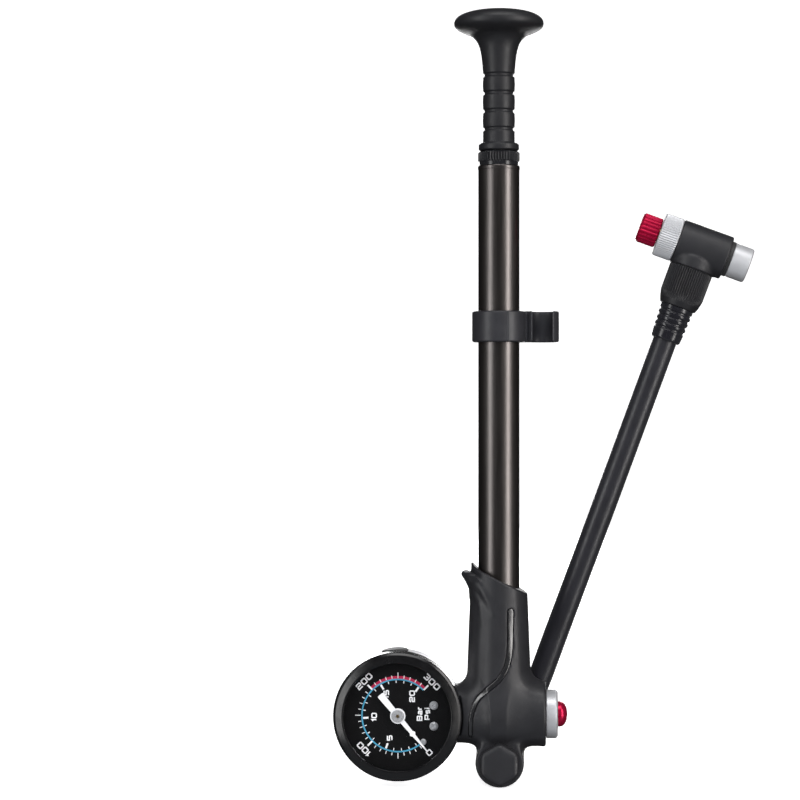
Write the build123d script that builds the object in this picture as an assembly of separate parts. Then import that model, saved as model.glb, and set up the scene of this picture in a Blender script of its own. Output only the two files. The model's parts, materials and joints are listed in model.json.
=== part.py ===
"""A high-pressure hand pump for bicycle suspension: a slim barrel with a push handle, a moulded head that
carries a pressure gauge and a bleed valve, and a swivelling hose that ends in a screw-on valve connector.

Millimetres. The origin is on the barrel's axis, level with the lowest point of the hose pivot.
+X points to the bleed valve, +Y from the gauge's face to the hose, and +Z up the barrel."""
from build123d import *
from math import atan2, cos, degrees, pi, radians, sin, sqrt, tan
import os

# Pump barrel and plunger
BARREL_R = 7.0
BORE_R = 6.0
BARREL_FOOT = 38.0
BARREL_TOP = 210.1
CAP_TOP = 215.0
HANDLE_FOOT = 215.1
HANDLE_TOP = 263.0
GRIP_R = 5.35
GRIP_TOP = 241.2
GROOVE_PITCH = 6.1
ROD_R = 3.0
ROD_FOOT = 50.5
ROD_TOP = 246.0
SCREW_R = 1.5

# Head: a tapered socket for the barrel, a cross body at MANIFOLD_Z and the hose pivot under it
SOCKET_LOW_R = 11.1
SOCKET_TOP_R = 9.2
SOCKET_TOP = 76.0
MANIFOLD_Z = 24.0
LEFT_R = 9.8
RIGHT_R = 10.9
RIGHT_FACE = 16.0
BACK_FACE = 9.4
SEAT_FOOT = 33.5
SEAT_TOP = 36.8
CHAMBER_FOOT = 28.6
PORT_R = 1.2
TRIM_WIDTH = 1.6
TRIM_SINK = 0.35
GROOVE_DEPTH = 1.0

# Hose pivot
PIVOT_X = 0.4
PIVOT_Z = 8.2
PIVOT_R = 8.2
BOLT_R = 3.0
CAP_FLATS = 12.8

# Hose and connector, in one plane behind the head
HOSE_Y = 15.2
HOSE_R = 4.15
HOSE_LEAN = 20.28
SPIGOT_LEAN = 30.0
TEE_X = 68.65
TEE_Z = 182.75
TEE_R = 7.6
KNOB_R = 5.2
TEE_BORE_R = 5.6
THREAD_R = 3.5
SLEEVE_TOP = -7.7
SLEEVE_FOOT = -21.6
RELIEF_FOOT = -33.8

# Gauge, seen from the front
GAUGE_X = -33.9
CASE_R = 21.2
BEZEL_R = 21.7
WINDOW_R = 18.1
DIAL_R = 19.4
DIAL_FACE = 7.5
NEEDLE_REST = 220.0
PINION_TEETH = 12
SECTOR_TEETH = 96
GEAR_MODULE = 0.2

# Fits
SLIP = 0.05
CLEAR = 0.2

FROM_FOOT = (Align.CENTER, Align.CENTER, Align.MIN)
UP = Plane.XY
FRONT = Plane.XZ
CROSS = Plane(origin=(0, 0, MANIFOLD_Z), x_dir=(0, 1, 0), z_dir=(1, 0, 0))
PIVOT = Plane(origin=(PIVOT_X, 0, PIVOT_Z), x_dir=(1, 0, 0), z_dir=(0, 1, 0))
DIAL = Plane(origin=(GAUGE_X, 0, MANIFOLD_Z), x_dir=(0, 0, 1), z_dir=(0, -1, 0))


def leaning(angle):
    """The direction that leans by an angle from +Z towards +X."""
    return Vector(sin(radians(angle)), 0, cos(radians(angle)))


HOSE_WAY = leaning(HOSE_LEAN)
NOSE_WAY = leaning(HOSE_LEAN + 90)
TEE_CENTRE = Vector(TEE_X, HOSE_Y, TEE_Z)
TEE = Plane(origin=TEE_CENTRE, x_dir=(0, 1, 0), z_dir=NOSE_WAY)
STEM = Plane(origin=TEE_CENTRE, x_dir=(0, 1, 0), z_dir=HOSE_WAY)
HOSE_PIVOT = Vector(PIVOT_X, HOSE_Y, PIVOT_Z)
SPIGOT = Plane(origin=HOSE_PIVOT, x_dir=(0, 1, 0), z_dir=leaning(SPIGOT_LEAN))


def disc(plane, radius, low, high):
    """A cylinder about a plane's normal, between two heights over the plane."""
    return plane.offset(low) * Cylinder(radius, high - low, align=FROM_FOOT)


def ring(plane, outer, inner, low, high):
    """A plain ring about a plane's normal."""
    return disc(plane, outer, low, high) - disc(plane, inner, low - 1, high + 1)


def turned(plane, *points):
    """A body turned about a plane's normal, from (radius, height) points."""
    return plane * revolve(make_face(FRONT * Polyline(*points, close=True)), Axis.Z)


def bored(body, plane, radius, low, high):
    """A body with a hole along a plane's normal."""
    return body - disc(plane, radius, low, high)


def hexagon(plane, flats, low, high):
    """A six-sided bar, by its width across flats."""
    outline = RegularPolygon(flats / 2, 6, major_radius=False)
    return extrude(plane.offset(low) * outline, amount=high - low)


def fluted(plane, outer, depth, count, low, high):
    """A bar with straight grooves all round it."""
    step = 2 * pi / count
    corners = [(-0.25, outer), (0.25, outer), (0.38, outer - depth), (0.62, outer - depth)]
    outline = [
        (radius * cos((number + share) * step), radius * sin((number + share) * step))
        for number in range(count)
        for share, radius in corners
    ]
    return extrude(plane.offset(low) * make_face(Polyline(*outline, close=True)), amount=high - low)


def o_ring(plane, outer, section, height):
    """A rubber ring of round section, by its outer radius."""
    return plane.offset(height) * Torus(outer - section / 2, section / 2)


def coil_spring(plane, radius, wire, turns, low, high):
    """A round-wire spring between two heights over a plane."""
    path = Helix(pitch=(high - low - 2 * wire) / turns, height=high - low - 2 * wire, radius=radius)
    section = Plane(origin=path @ 0, z_dir=path % 0) * Circle(wire)
    return plane.offset(low + wire) * sweep(section, path=path)


# ---------------------------------------------------------------- plunger

def handle():
    """The push handle: a domed knob that necks down to a grooved grip, with a collar at its foot."""
    crown = HANDLE_TOP
    dome = ThreePointArc((0, crown), (6.0, crown - 0.35), (10.2, crown - 1.2))
    edge = Spline(
        (10.2, crown - 1.2), (13.3, crown - 2.15), (14.8, crown - 3.5), (15.2, crown - 4.9),
        (14.4, crown - 6.6), (12.2, crown - 7.9), (9.6, crown - 8.9), (8.1, crown - 10.1),
        (6.9, crown - 12.0), (6.05, crown - 15.0), (5.6, crown - 18.8), (GRIP_R, GRIP_TOP),
    )
    foot = Polyline(
        (GRIP_R, GRIP_TOP), (GRIP_R + 0.1, HANDLE_FOOT + 2.6), (6.3, HANDLE_FOOT + 2.5),
        (6.85, HANDLE_FOOT + 2.0), (6.85, HANDLE_FOOT + 0.5), (6.4, HANDLE_FOOT), (0, HANDLE_FOOT),
        (0, crown),
    )
    body = revolve(make_face(FRONT * Wire([dome, edge, *foot.edges()])), Axis.Z)
    for number in range(4):
        groove_z = GRIP_TOP - 0.5 - number * GROOVE_PITCH
        body -= Pos(0, 0, groove_z) * Torus(GRIP_R + 0.15, 0.6)
    body = bored(body, UP, ROD_R, HANDLE_FOOT - 1, ROD_TOP)
    body = bored(body, UP, 5.0, HANDLE_FOOT - 1, HANDLE_FOOT + 1.2)
    return body - hexagon(UP, 7.4, 238.0, 248.0)


def handle_insert():
    """The brass insert moulded into the grip, which the rod screws into."""
    return bored(hexagon(UP, 7.4, 238.0, 248.0), UP, ROD_R, 237.0, ROD_TOP)


def bumper():
    """The rubber ring that meets the barrel's cap when the handle is pushed home."""
    return ring(UP, 5.0, ROD_R, HANDLE_FOOT, HANDLE_FOOT + 1.2)


def plunger_rod():
    """The tube between handle and piston."""
    return ring(UP, ROD_R, SCREW_R, ROD_FOOT, ROD_TOP)


def piston():
    """The piston, grooved for its ring."""
    return turned(
        UP, (SCREW_R, 40.5), (5.45, 40.5), (5.75, 40.8), (5.75, 44.4), (4.05, 44.4), (4.05, 46.5),
        (5.75, 46.5), (5.75, 50.2), (5.45, ROD_FOOT), (SCREW_R, ROD_FOOT),
    )


def piston_ring():
    """The piston's sealing ring."""
    return o_ring(UP, BORE_R - 0.03, 1.9, 45.45)


def piston_screw():
    """The screw that clamps the piston to the rod."""
    screw = disc(UP, 2.75, 38.9, 40.5) + disc(UP, SCREW_R, 40.5, 58.0)
    return screw - hexagon(UP, 2.5, 38.8, 39.8)


# ---------------------------------------------------------------- barrel

def barrel():
    """The drawn tube, with a rolled lip at its mouth."""
    tube = ring(UP, BARREL_R, BORE_R, BARREL_FOOT, BARREL_TOP)
    lip = turned(
        UP, (BARREL_R - 0.2, BARREL_TOP - 1.4), (BARREL_R + 0.12, BARREL_TOP - 1.1),
        (BARREL_R + 0.12, BARREL_TOP - 0.3), (BARREL_R - 0.2, BARREL_TOP),
    )
    return tube + lip


def barrel_cap():
    """The ribbed cap screwed into the barrel's mouth, which guides the rod."""
    band = fluted(UP, 7.06, 0.3, 48, BARREL_TOP + 1.2, CAP_TOP)
    band &= turned(
        UP, (0, BARREL_TOP + 1.2), (6.7, BARREL_TOP + 1.2), (7.06, BARREL_TOP + 1.6),
        (7.06, CAP_TOP - 0.5), (6.6, CAP_TOP), (0, CAP_TOP),
    )
    body = band + disc(UP, 6.7, BARREL_TOP, BARREL_TOP + 1.2)
    body += disc(UP, BORE_R, BARREL_TOP - 7.0, BARREL_TOP)
    body = bored(body, UP, 4.0, BARREL_TOP - 8.0, CAP_TOP - 2.0)
    return bored(body, UP, 4.2, CAP_TOP - 2.0, CAP_TOP + 1)


def rod_bush():
    """The plain bearing for the rod."""
    return ring(UP, 4.0, ROD_R + SLIP, BARREL_TOP - 7.0, CAP_TOP - 2.0)


def rod_wiper():
    """The wiper ring over the bush."""
    return ring(UP, 4.2, ROD_R + 0.03, CAP_TOP - 2.0, CAP_TOP - 0.6)


def hose_clip():
    """The split clip round the barrel, with an open hook that parks the hose."""
    low, high, outer = 150.1, 160.6, 9.15
    hook_x, hook_r, hook_bore = 14.8, 5.6, 4.0
    neck = Pos(9.0, 1.2) * Rectangle(7.0, 4.6)
    outline = Circle(outer) + neck + Pos(hook_x, 0) * Circle(hook_r)
    outline = fillet([corner for corner in outline.vertices() if corner.Y > 0], 1.0)
    reach = outer + 0.35
    bow = [(reach * sin(radians(a)), -reach * cos(radians(a))) for a in range(18, 50, 4)]
    outline += make_face(Polyline((0, 0), *bow, close=True))
    outline -= Circle(BARREL_R + SLIP)
    outline -= Pos(hook_x, 0) * Circle(hook_bore)
    outline -= Pos(hook_x, -hook_r) * Rectangle(6.6, 2 * hook_r - 3.4)
    outline -= Pos(2.7, -outer) * Rectangle(0.45, 4.5)
    clip = extrude(UP.offset(low) * outline, amount=high - low)
    rounding = turned(
        UP, (0, low), (hook_x + hook_r - 0.6, low), (hook_x + hook_r + 0.1, low + 1.0),
        (hook_x + hook_r + 0.1, high - 1.0), (hook_x + hook_r - 0.6, high), (0, high),
    )
    return clip & rounding


# ---------------------------------------------------------------- head

def head_form():
    """The head's outside: socket, cross body and pivot boss run into each other."""
    taper = atan2(SOCKET_LOW_R - SOCKET_TOP_R, SOCKET_TOP - MANIFOLD_Z)
    shoulder = (SOCKET_LOW_R * cos(taper), MANIFOLD_Z + SOCKET_LOW_R * sin(taper))
    belly = (SOCKET_LOW_R * sin(pi / 4), MANIFOLD_Z - SOCKET_LOW_R * cos(pi / 4))
    bulb = ThreePointArc(shoulder, belly, (0, MANIFOLD_Z - SOCKET_LOW_R))
    wall = Polyline((0, MANIFOLD_Z - SOCKET_LOW_R), (0, SOCKET_TOP), (SOCKET_TOP_R, SOCKET_TOP), shoulder)
    socket = revolve(make_face(FRONT * Wire([bulb, *wall.edges()])), Axis.Z)
    left = disc(CROSS, LEFT_R, -16.0, 0)
    right = turned(CROSS, (0, 0), (LEFT_R, 0), (RIGHT_R, RIGHT_FACE), (0, RIGHT_FACE))
    body = socket + left + right
    body = fillet(joins(body, (-14, -1), (13, 60)), 3.5)
    body = fillet(joins(body, (1, 15), (13, 60)), 4.0)
    body += disc(PIVOT, PIVOT_R, -BACK_FACE, BACK_FACE)
    return fillet(joins(body, (-8, 8), (8, 20)), 2.2)


def joins(body, span_x, span_z):
    """A body's curved edges that lie within a span of X and a span of Z."""
    found = []
    for edge in body.edges():
        box = edge.bounding_box()
        inside_x = span_x[0] < box.min.X and box.max.X < span_x[1]
        inside_z = span_z[0] < box.min.Z and box.max.Z < span_z[1]
        if inside_x and inside_z and edge.geom_type != GeomType.LINE:
            found.append(edge)
    return found


def head_lip():
    """The finger lip that flares from the socket's rim, away from the hose."""
    side = radians(130)
    page = Plane(origin=(0, 0, 0), x_dir=(cos(side), sin(side), 0), z_dir=(sin(side), -cos(side), 0))
    under = Spline((9.4, 61.0), (10.0, 68.2), (12.4, 70.9))
    tip = ThreePointArc((12.4, 70.9), (12.6, 72.1), (11.3, 73.2))
    top = Polyline((11.3, 73.2), (8.4, 72.6), (8.4, 61.0), (9.4, 61.0))
    return revolve(make_face(page * Wire([under, tip, *top.edges()])), Axis.Z, revolution_arc=100)


def trim_bar():
    """A deep bar with the outline of the S-shaped trim."""
    line = Spline(
        (4.55, 59.4), (4.4, 49.5), (3.6, 41.5), (-0.6, 35.2), (-4.9, 32.0), (-7.8, 27.0), (-9.0, 22.0),
        (-9.05, 17.7),
    )
    return extrude(FRONT * trace(line, TRIM_WIDTH), amount=20)


def head():
    """The moulded head, with every bore and port."""
    form = head_form()
    body = form + head_lip()
    rim = Polyline(
        (-30, 75.6), (-9.2, 75.6), (-7.2, 73.4), (9.9, 65.0), (30, 60.0), (30, 90), (-30, 90), close=True
    )
    body -= extrude(FRONT * make_face(rim), amount=20, both=True)
    body -= Pos(0, BACK_FACE + 10, 40) * Box(60, 20, 120)
    body -= disc(DIAL, BEZEL_R + CLEAR, -20, 20)
    body -= trim_bar() - Pos(0, GROOVE_DEPTH, 0) * form
    body = bored(body, UP, BARREL_R, SEAT_TOP, SOCKET_TOP + 1)
    body = bored(body, UP, 4.5, SEAT_FOOT, SEAT_TOP + 1)
    body = bored(body, UP, 3.0, CHAMBER_FOOT, SEAT_FOOT + 1)
    body = bored(body, UP, PORT_R, PIVOT_Z, CHAMBER_FOOT + 1)
    body = bored(body, CROSS, 4.85, -20.0, -4.2)
    body = bored(body, CROSS, 1.3, -5.0, 3.0)
    body = bored(body, CROSS, 3.2, 2.4, 9.0)
    body = bored(body, CROSS, 5.0, 8.2, RIGHT_FACE + 1)
    return bored(body, PIVOT, BOLT_R, -BACK_FACE - 1, BACK_FACE + 1)


def head_trim():
    """The glossy S-shaped inlay, set a little under the head's surface."""
    form = head_form()
    return (trim_bar() & (Pos(0, TRIM_SINK, 0) * form)) - Pos(0, GROOVE_DEPTH, 0) * form


def barrel_seal():
    """The flat ring under the barrel."""
    return ring(UP, BARREL_R, 4.7, SEAT_TOP, BARREL_FOOT)


def valve_seat():
    """The seat of the check valve, under the barrel."""
    return ring(UP, 4.5, 0.9, SEAT_FOOT, SEAT_TOP)


def check_poppet():
    """The check valve's disc, with a spigot that centres its spring."""
    return disc(UP, 2.4, 32.2, SEAT_FOOT - 0.02) + disc(UP, 1.1, 31.2, 32.2)


def check_spring():
    """The spring that holds the check valve shut."""
    return coil_spring(UP, 1.75, 0.2, 4, CHAMBER_FOOT, 32.2)


# ---------------------------------------------------------------- bleed valve

def bleed_collar():
    """The collar screwed into the head's right end, which guides the bleed button."""
    body = turned(
        CROSS, (0, 9.0), (5.0, 9.0), (5.0, RIGHT_FACE), (8.0, RIGHT_FACE), (8.2, RIGHT_FACE + 0.2),
        (8.2, 19.3), (7.6, 20.0), (0, 20.0),
    )
    body = bored(body, CROSS, 4.3 + SLIP, 15.5, 21.0)
    return bored(body, CROSS, 1.2 + SLIP, 8.0, 21.0)


def collar_seal():
    """The ring that seals the collar in the head."""
    return ring(CROSS, 5.0, 3.6, 8.2, 9.0)


def bleed_button():
    """The domed button that lets air out."""
    return turned(
        CROSS, (0, 23.25), (0, 21.5), (1.2, 21.5), (1.2, 19.0), (1.9, 19.0), (1.9, 21.2), (3.1, 21.2),
        (3.1, 19.0), (4.3, 19.0), (4.3, 21.0), (4.1, 21.6), (3.5, 22.2), (2.5, 22.8), (1.3, 23.15),
    )


def bleed_pin():
    """The button's pin, with the valve disc on its inner end."""
    return disc(CROSS, 1.2, 6.0, 21.5) + disc(CROSS, 2.6, 6.0, 7.6)


def bleed_seal():
    """The rubber face of the bleed valve."""
    return ring(CROSS, 2.6, 1.2, 7.6, 8.95)


def bleed_spring():
    """The spring that lifts the button."""
    return coil_spring(CROSS, 2.5, 0.25, 4, 15.5, 21.2)


# ---------------------------------------------------------------- hose pivot

def pivot_bolt():
    """The hollow bolt that the hose turns on, bored to pass the air."""
    body = disc(PIVOT, BOLT_R, -BACK_FACE, 22.0) + disc(PIVOT, 4.4, -12.0, -BACK_FACE)
    body = bored(body, PIVOT, PORT_R, -1.2, HOSE_Y + 1.2)
    body = body - disc(Plane(origin=(PIVOT_X, 0, PIVOT_Z)), PORT_R, 0, 6)
    body = body - disc(Plane(origin=(PIVOT_X, HOSE_Y, PIVOT_Z)), PORT_R, -6, 6)
    for height in (HOSE_Y - 3.4, HOSE_Y + 3.4):
        body -= ring(PIVOT, BOLT_R + 1, 2.2, height - 0.55, height + 0.55)
    return body - ring(PIVOT, BOLT_R + 1, 2.3, 20.6, 21.4)


def pivot_seals():
    """The bolt's two sealing rings."""
    rings = [o_ring(PIVOT, BOLT_R + 0.03, 0.82, height) for height in (HOSE_Y - 3.4, HOSE_Y + 3.4)]
    return Compound(children=[part.solid() for part in rings])


def pivot_cap():
    """The six-sided cap over the bolt's head, with a bevelled face."""
    crown = turned(
        PIVOT, (0, -13.6), (5.4, -13.6), (6.9, -12.4), (7.15, -11.4), (7.15, -BACK_FACE), (0, -BACK_FACE)
    )
    outline = RegularPolygon(CAP_FLATS / 2, 6, major_radius=False, rotation=30)
    outline = fillet(outline.vertices(), 1.6)
    bar = extrude(PIVOT.offset(-13.6) * outline, amount=13.6 - BACK_FACE)
    return bored(bar & crown, PIVOT, 4.4, -12.0, -BACK_FACE + 1)


def retaining_clip():
    """The open spring clip behind the swivel."""
    body = ring(PIVOT, 4.6, 2.3, 20.6, 21.4)
    return body - PIVOT.offset(21.0) * Pos(0, 4.0, 0) * Box(3.0, 8.0, 2.0)


def swivel():
    """The turning elbow: an eye on the bolt and a barbed spigot for the hose."""
    eye = turned(
        PIVOT, (0, 9.8), (5.9, 9.8), (6.5, 10.4), (6.5, 19.9), (5.9, 20.5), (0, 20.5)
    )
    barbs = turned(SPIGOT, (0, 0), (2.6, 0), (2.6, 8.5), (2.0, 8.5), (0, 8.5))
    body = eye + barbs + disc(SPIGOT, 4.6, 3.0, 8.5)
    body = bored(body, PIVOT, BOLT_R + SLIP, 9.0, 21.0)
    return body - disc(SPIGOT, PORT_R, 0, 9.0)


def hose_ferrule():
    """The crimped sleeve over the hose's end, with two crimp grooves."""
    body = ring(SPIGOT, 5.2, HOSE_R, 8.5, 15.4)
    for height in (10.6, 13.2):
        body -= SPIGOT.offset(height) * Torus(5.6, 0.7)
    return body


# ---------------------------------------------------------------- hose

def hose_route():
    """The hose's hand-set route: out of the swivel, then up almost straight to the connector's sleeve."""
    return [
        Vector(4.65, HOSE_Y, 15.56),
        Vector(11.00, HOSE_Y, 26.56),
        Vector(19.55, HOSE_Y, 50.20),
        Vector(35.75, HOSE_Y, 93.35),
        Vector(51.56, HOSE_Y, 136.50),
        Vector(61.16, HOSE_Y, 162.48),
    ]


def hose():
    """The hose: straight runs joined by the largest arcs that they allow."""
    route = hose_route()
    radii = []
    for before, corner, after in zip(route, route[1:], route[2:]):
        turn = (corner - before).get_angle(after - corner)
        shorter = min((corner - before).length, (after - corner).length)
        radii.append(0.45 * shorter / tan(radians(turn / 2)))
    path = FilletPolyline(*route, radius=radii)
    tube = sweep(Plane(origin=path @ 0, z_dir=path % 0) * Circle(HOSE_R), path=path)
    print("hose radii", [round(radius) for radius in radii], "length", round(path.length, 1))
    print("hose volume over section times length", round(tube.volume / (pi * HOSE_R ** 2 * path.length), 4))
    return tube


def strain_relief():
    """The ribbed boot where the hose enters the sleeve."""
    points = [(HOSE_R, SLEEVE_FOOT), (5.75, SLEEVE_FOOT)]
    for number in range(4):
        height = SLEEVE_FOOT - 1.6 - number * 2.0
        crest = 5.72 - 0.1 * number
        valley = crest - 0.45
        points += [(crest, height), (valley, height - 0.35), (valley, height - 0.85), (crest, height - 1.2)]
    points += [(5.3, RELIEF_FOOT + 2.6), (5.15, RELIEF_FOOT + 0.3), (4.9, RELIEF_FOOT)]
    points.append((HOSE_R, RELIEF_FOOT))
    return turned(STEM, *points)


# ---------------------------------------------------------------- connector

def grip_sleeve():
    """The finely ribbed sleeve between the boot and the tee."""
    body = fluted(STEM, 7.6, 0.28, 64, SLEEVE_FOOT, SLEEVE_TOP)
    body &= turned(
        STEM, (0, SLEEVE_FOOT), (6.3, SLEEVE_FOOT), (7.1, SLEEVE_FOOT + 2.2), (7.6, SLEEVE_FOOT + 4.6),
        (7.6, SLEEVE_TOP), (0, SLEEVE_TOP),
    )
    return bored(body, STEM, PORT_R, SLEEVE_FOOT - 1, SLEEVE_TOP + 1)


def tee_body():
    """The connector's moulded tee, round the spindle."""
    bar = turned(
        TEE, (0, -7.8), (TEE_R - 0.4, -7.8), (TEE_R, -7.4), (TEE_R, 9.7), (TEE_R - 0.4, 10.1), (0, 10.1)
    )
    stub = disc(STEM, 7.75, SLEEVE_TOP, -0.5)
    body = bar + (stub - disc(TEE, TEE_R - 0.5, -9.0, 9.0))
    body = bored(body, STEM, PORT_R, SLEEVE_TOP - 1, 0)
    return bored(body, TEE, TEE_BORE_R, -8.0, 11.0)


def spindle():
    """The turning spindle: through the tee, out to a nose with a valve thread."""
    body = disc(TEE, TEE_BORE_R - SLIP, -11.7, 11.4)
    nose = turned(TEE, (0, 11.4), (5.8, 11.4), (6.05, 11.65), (6.05, 17.5), (5.5, 18.1), (0, 18.1))
    body = body + nose
    for height in (-4.0, 6.0):
        body -= ring(TEE, TEE_BORE_R + 1, 4.6, height - 0.55, height + 0.55)
    body = bored(body, TEE, THREAD_R, 12.2, 19.0)
    body = bored(body, TEE, 3.8, 10.8, 12.3)
    body = bored(body, TEE, 1.6, -1.0, 11.0)
    body = bored(body, TEE, 2.2 + SLIP, -15.0, -1.0)
    return body - (disc(STEM, PORT_R, -6.5, 0) - disc(TEE, 1.5, -2, 2))


def spindle_seals():
    """The spindle's two rings inside the tee."""
    rings = [o_ring(TEE, TEE_BORE_R - 0.03, 0.92, height) for height in (-4.0, 6.0)]
    return Compound(children=[part.solid() for part in rings])


def end_washer():
    """The washer that keeps the spindle in the tee."""
    return ring(TEE, 6.2, TEE_BORE_R - SLIP, 10.2, 11.4)


def nose_seal():
    """The rubber seal at the bottom of the threaded nose."""
    return ring(TEE, 3.8, 1.3, 10.8, 12.2)


def spindle_collar():
    """The knurled ring that turns the spindle."""
    body = fluted(TEE, 7.6, 0.22, 72, -14.6, -7.9)
    body &= turned(
        TEE, (0, -14.6), (7.1, -14.6), (7.6, -14.1), (7.6, -8.3), (7.2, -7.9), (0, -7.9)
    )
    body = bored(body, TEE, TEE_BORE_R - SLIP, -11.7, -7.0)
    return bored(body, TEE, KNOB_R + CLEAR, -15.0, -11.0)


def depressor_pin():
    """The pin that opens the valve that the nose is screwed to."""
    return disc(TEE, 1.9, -6.0, -4.0) + disc(TEE, 1.0, -4.0, 12.0)


def depressor_knob():
    """The fluted knob that drives the pin."""
    body = fluted(TEE, KNOB_R, 0.3, 22, -21.8, -14.8)
    body &= turned(
        TEE, (0, -21.8), (4.6, -21.8), (KNOB_R, -21.1), (KNOB_R, -15.1), (4.9, -14.8), (0, -14.8)
    )
    return bored(body, TEE, 2.2, -18.9, -13.9)


def knob_screw():
    """The knob's threaded stem, which pushes the pin."""
    return disc(TEE, 2.2, -18.9, -6.0)


# ---------------------------------------------------------------- gauge

def gauge_case():
    """The steel cup that holds the gauge."""
    cup = turned(
        DIAL, (0, -10.0), (19.2, -10.0), (20.6, -9.4), (CASE_R, -8.0), (CASE_R, 8.0), (20.3, 8.0),
        (20.3, -7.7), (19.6, -8.9), (0, -9.1),
    )
    cup -= disc(CROSS, 4.85, GAUGE_X + 15, 0)
    return cup - disc(Plane(origin=(GAUGE_X - 1.5, 0, MANIFOLD_Z)), 3.4, 15, 25)


def case_plug():
    """The rubber vent plug on the case."""
    seat = Plane(origin=(GAUGE_X - 1.5, 0, MANIFOLD_Z))
    pad = (disc(seat, 4.6, 17.0, 23.0) & disc(DIAL, CASE_R + 0.8, -12, 12)) - disc(DIAL, CASE_R, -12, 12)
    return pad + disc(seat, 3.4, 19.6, 21.5)


def gauge_bezel():
    """The rolled ring that holds the lens on the case; its face rises towards the window."""
    outside = Polyline((CASE_R, 5.0), (BEZEL_R - 0.1, 5.0), (BEZEL_R, 5.3), (BEZEL_R, 10.8))
    roll = ThreePointArc((BEZEL_R, 10.8), (BEZEL_R - 0.3, 11.6), (BEZEL_R - 1.1, 12.05))
    inside = Polyline(
        (BEZEL_R - 1.1, 12.05), (WINDOW_R + 0.5, 13.0), (WINDOW_R + 0.1, 12.9), (WINDOW_R, 12.6),
        (WINDOW_R, 11.5), (19.9, 11.5), (19.9, 8.0), (CASE_R, 8.0), (CASE_R, 5.0),
    )
    face = make_face(FRONT * Wire([*outside.edges(), roll, *inside.edges()]))
    return DIAL * revolve(face, Axis.Z)


def gauge_lens():
    """The clear window."""
    return disc(DIAL, 19.9, 10.1, 11.5)


def lens_gasket():
    """The ring under the lens."""
    return ring(DIAL, 19.9, 18.9, 8.0, 10.1)


def dial():
    """The printed dial, with holes for the shaft and its screws."""
    plate = disc(DIAL, DIAL_R, DIAL_FACE - 0.5, DIAL_FACE)
    plate = bored(plate, DIAL, 1.0, 6.0, 8.0)
    for spot in dial_screw_spots():
        plate = bored(plate, spot, 0.6, 6.0, 8.0)
    return bored(plate, stop_spot(), 0.6, 6.0, 8.0)


def beside_dial_axis(across, up):
    """A plane parallel to the dial, with its origin at a place on the dial."""
    return Plane(origin=DIAL.from_local_coords(Vector(across, up, 0)), x_dir=DIAL.x_dir, z_dir=DIAL.z_dir)


def dial_screw_spots():
    """The two dial screws' places."""
    return [beside_dial_axis(across, -12.1) for across in (-3.5, 3.5)]


def stop_spot():
    """The stop pin's place, under the needle's place at rest."""
    angle = radians(NEEDLE_REST + 4.0)
    return beside_dial_axis(12.3 * cos(angle), 12.3 * sin(angle))


def cross_head(spot, radius, low, high):
    """A domed screw head with a cross recess."""
    head_part = turned(spot, (0, low), (radius, low), (radius, low + 0.35), (radius * 0.6, high), (0, high))
    for turn in (0, 90):
        head_part -= spot.offset(high) * Rot(0, 0, turn) * Box(radius * 1.1, radius * 0.28, 0.7)
    return head_part


def dial_screws():
    """The two screws that hold the dial."""
    screws = [
        cross_head(spot, 1.45, DIAL_FACE, DIAL_FACE + 0.85) + disc(spot, 0.6, 4.0, DIAL_FACE)
        for spot in dial_screw_spots()
    ]
    return Compound(children=[part.solid() for part in screws])


def stop_pin():
    """The small screw that the needle rests against."""
    spot = stop_spot()
    return cross_head(spot, 1.05, DIAL_FACE, DIAL_FACE + 0.8) + disc(spot, 0.6, 5.6, DIAL_FACE)


def gauge_socket():
    """The brass stem and its block inside the case."""
    block = Plane(origin=(GAUGE_X + 13.5, 0, MANIFOLD_Z)) * Box(9.0, 9.0, 9.0)
    stem = disc(CROSS, 4.85, GAUGE_X + 18.0, -5.0)
    body = block + stem
    body = bored(body, CROSS, PORT_R, GAUGE_X + 14.0, -4.0)
    for spot in dial_screw_spots():
        body += ring(spot, 1.2, 0.6, 4.5, DIAL_FACE - 0.5)
        body = bored(body, spot, 0.6, 3.9, DIAL_FACE)
    return body - bourdon_tube()


def gauge_seal():
    """The washer under the gauge's stem."""
    return ring(CROSS, 4.85, 1.6, -5.0, -4.2)


def bourdon_tube():
    """The flattened tube that uncurls under pressure."""
    start = radians(-90)
    page = Plane(origin=(0, 0, 0), x_dir=(cos(start), sin(start), 0), z_dir=(sin(start), -cos(start), 0))
    section = page * Pos(15.2, -2.0) * RectangleRounded(1.8, 4.4, 0.6)
    return DIAL * revolve(section, Axis.Z, revolution_arc=240)


def movement_frame():
    """The two plates that carry the gears, joined by pillars."""
    body = None
    for low, high in ((0.9, 1.5), (5.0, 5.6)):
        plate = disc(DIAL, 12.9, low, high) - DIAL.offset(low) * Pos(0, -11.9, 0) * Box(12, 9, 4)
        plate = bored(plate, DIAL, 0.57 + SLIP, low - 1, high + 1)
        plate = bored(plate, sector_axis(), 0.57 + SLIP, low - 1, high + 1)
        body = plate if body is None else body + plate
    for angle in (45, 135, 225, 315):
        spot = beside_dial_axis(11.9 * cos(radians(angle)), 11.9 * sin(radians(angle)))
        body += disc(spot, 0.9, 1.4, 5.1)
    return body


def sector_axis():
    """The sector gear's axis, to the right of the needle's on the dial."""
    reach = GEAR_MODULE * (PINION_TEETH + SECTOR_TEETH) / 2
    return beside_dial_axis(reach, 0)


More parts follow.
